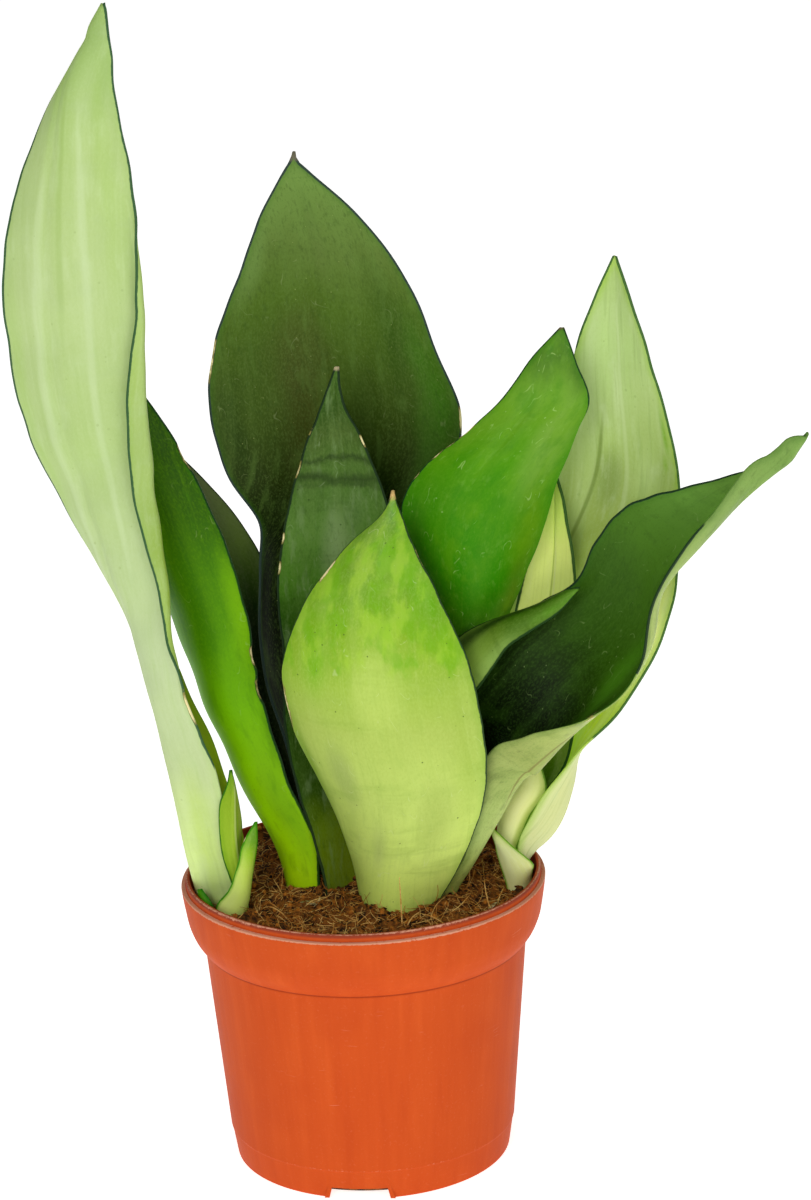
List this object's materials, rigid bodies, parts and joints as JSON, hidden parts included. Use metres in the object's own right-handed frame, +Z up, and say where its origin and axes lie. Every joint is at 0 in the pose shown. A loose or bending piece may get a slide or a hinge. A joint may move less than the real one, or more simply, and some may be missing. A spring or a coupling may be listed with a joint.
{
  "type": "potted snake plant",
  "caption": "Potted moonshine snake plant: broad silvery and deep green sword leaves standing in fibrous soil in a round orange plastic pot with a deep collar.",
  "frame": {"origin": "middle of the pot's foot, on the ground", "axes": "+Z up along the pot's axis; -Y towards the front of the plant; +X to the viewer's right"},
  "size_m": [0.2533, 0.122, 0.3942],
  "materials": {
    "pot_plastic": "satin terracotta-orange polypropylene",
    "soil_fibre": "loose brown coco fibre and peat",
    "leaf_pale": "waxy silvery green leaf",
    "leaf_green": "waxy fresh green leaf",
    "leaf_dark": "waxy deep green leaf",
    "sheath_cream": "waxy cream leaf sheath"
  },
  "bodies": {
    "root": {"pot": "pot_plastic", "soil": "soil_fibre", "leaf_tall_left": "leaf_pale", "leaf_pale_right": "leaf_pale", "leaf_young_right": "leaf_pale", "leaf_inner_right": "leaf_pale", "leaf_front_broad": "leaf_green", "leaf_green_right": "leaf_green", "leaf_green_left": "leaf_green", "leaf_bud_left": "leaf_green", "leaf_inner_left": "leaf_green", "sheath_left": "leaf_green", "scale_left": "leaf_green", "leaf_dark_broad": "leaf_dark", "leaf_dark_banded": "leaf_dark", "leaf_grey_left": "leaf_dark", "leaf_twisted_right": "leaf_dark", "leaf_hooked_small": "leaf_dark", "sheath_right": "sheath_cream"}
  },
  "joints": []
}
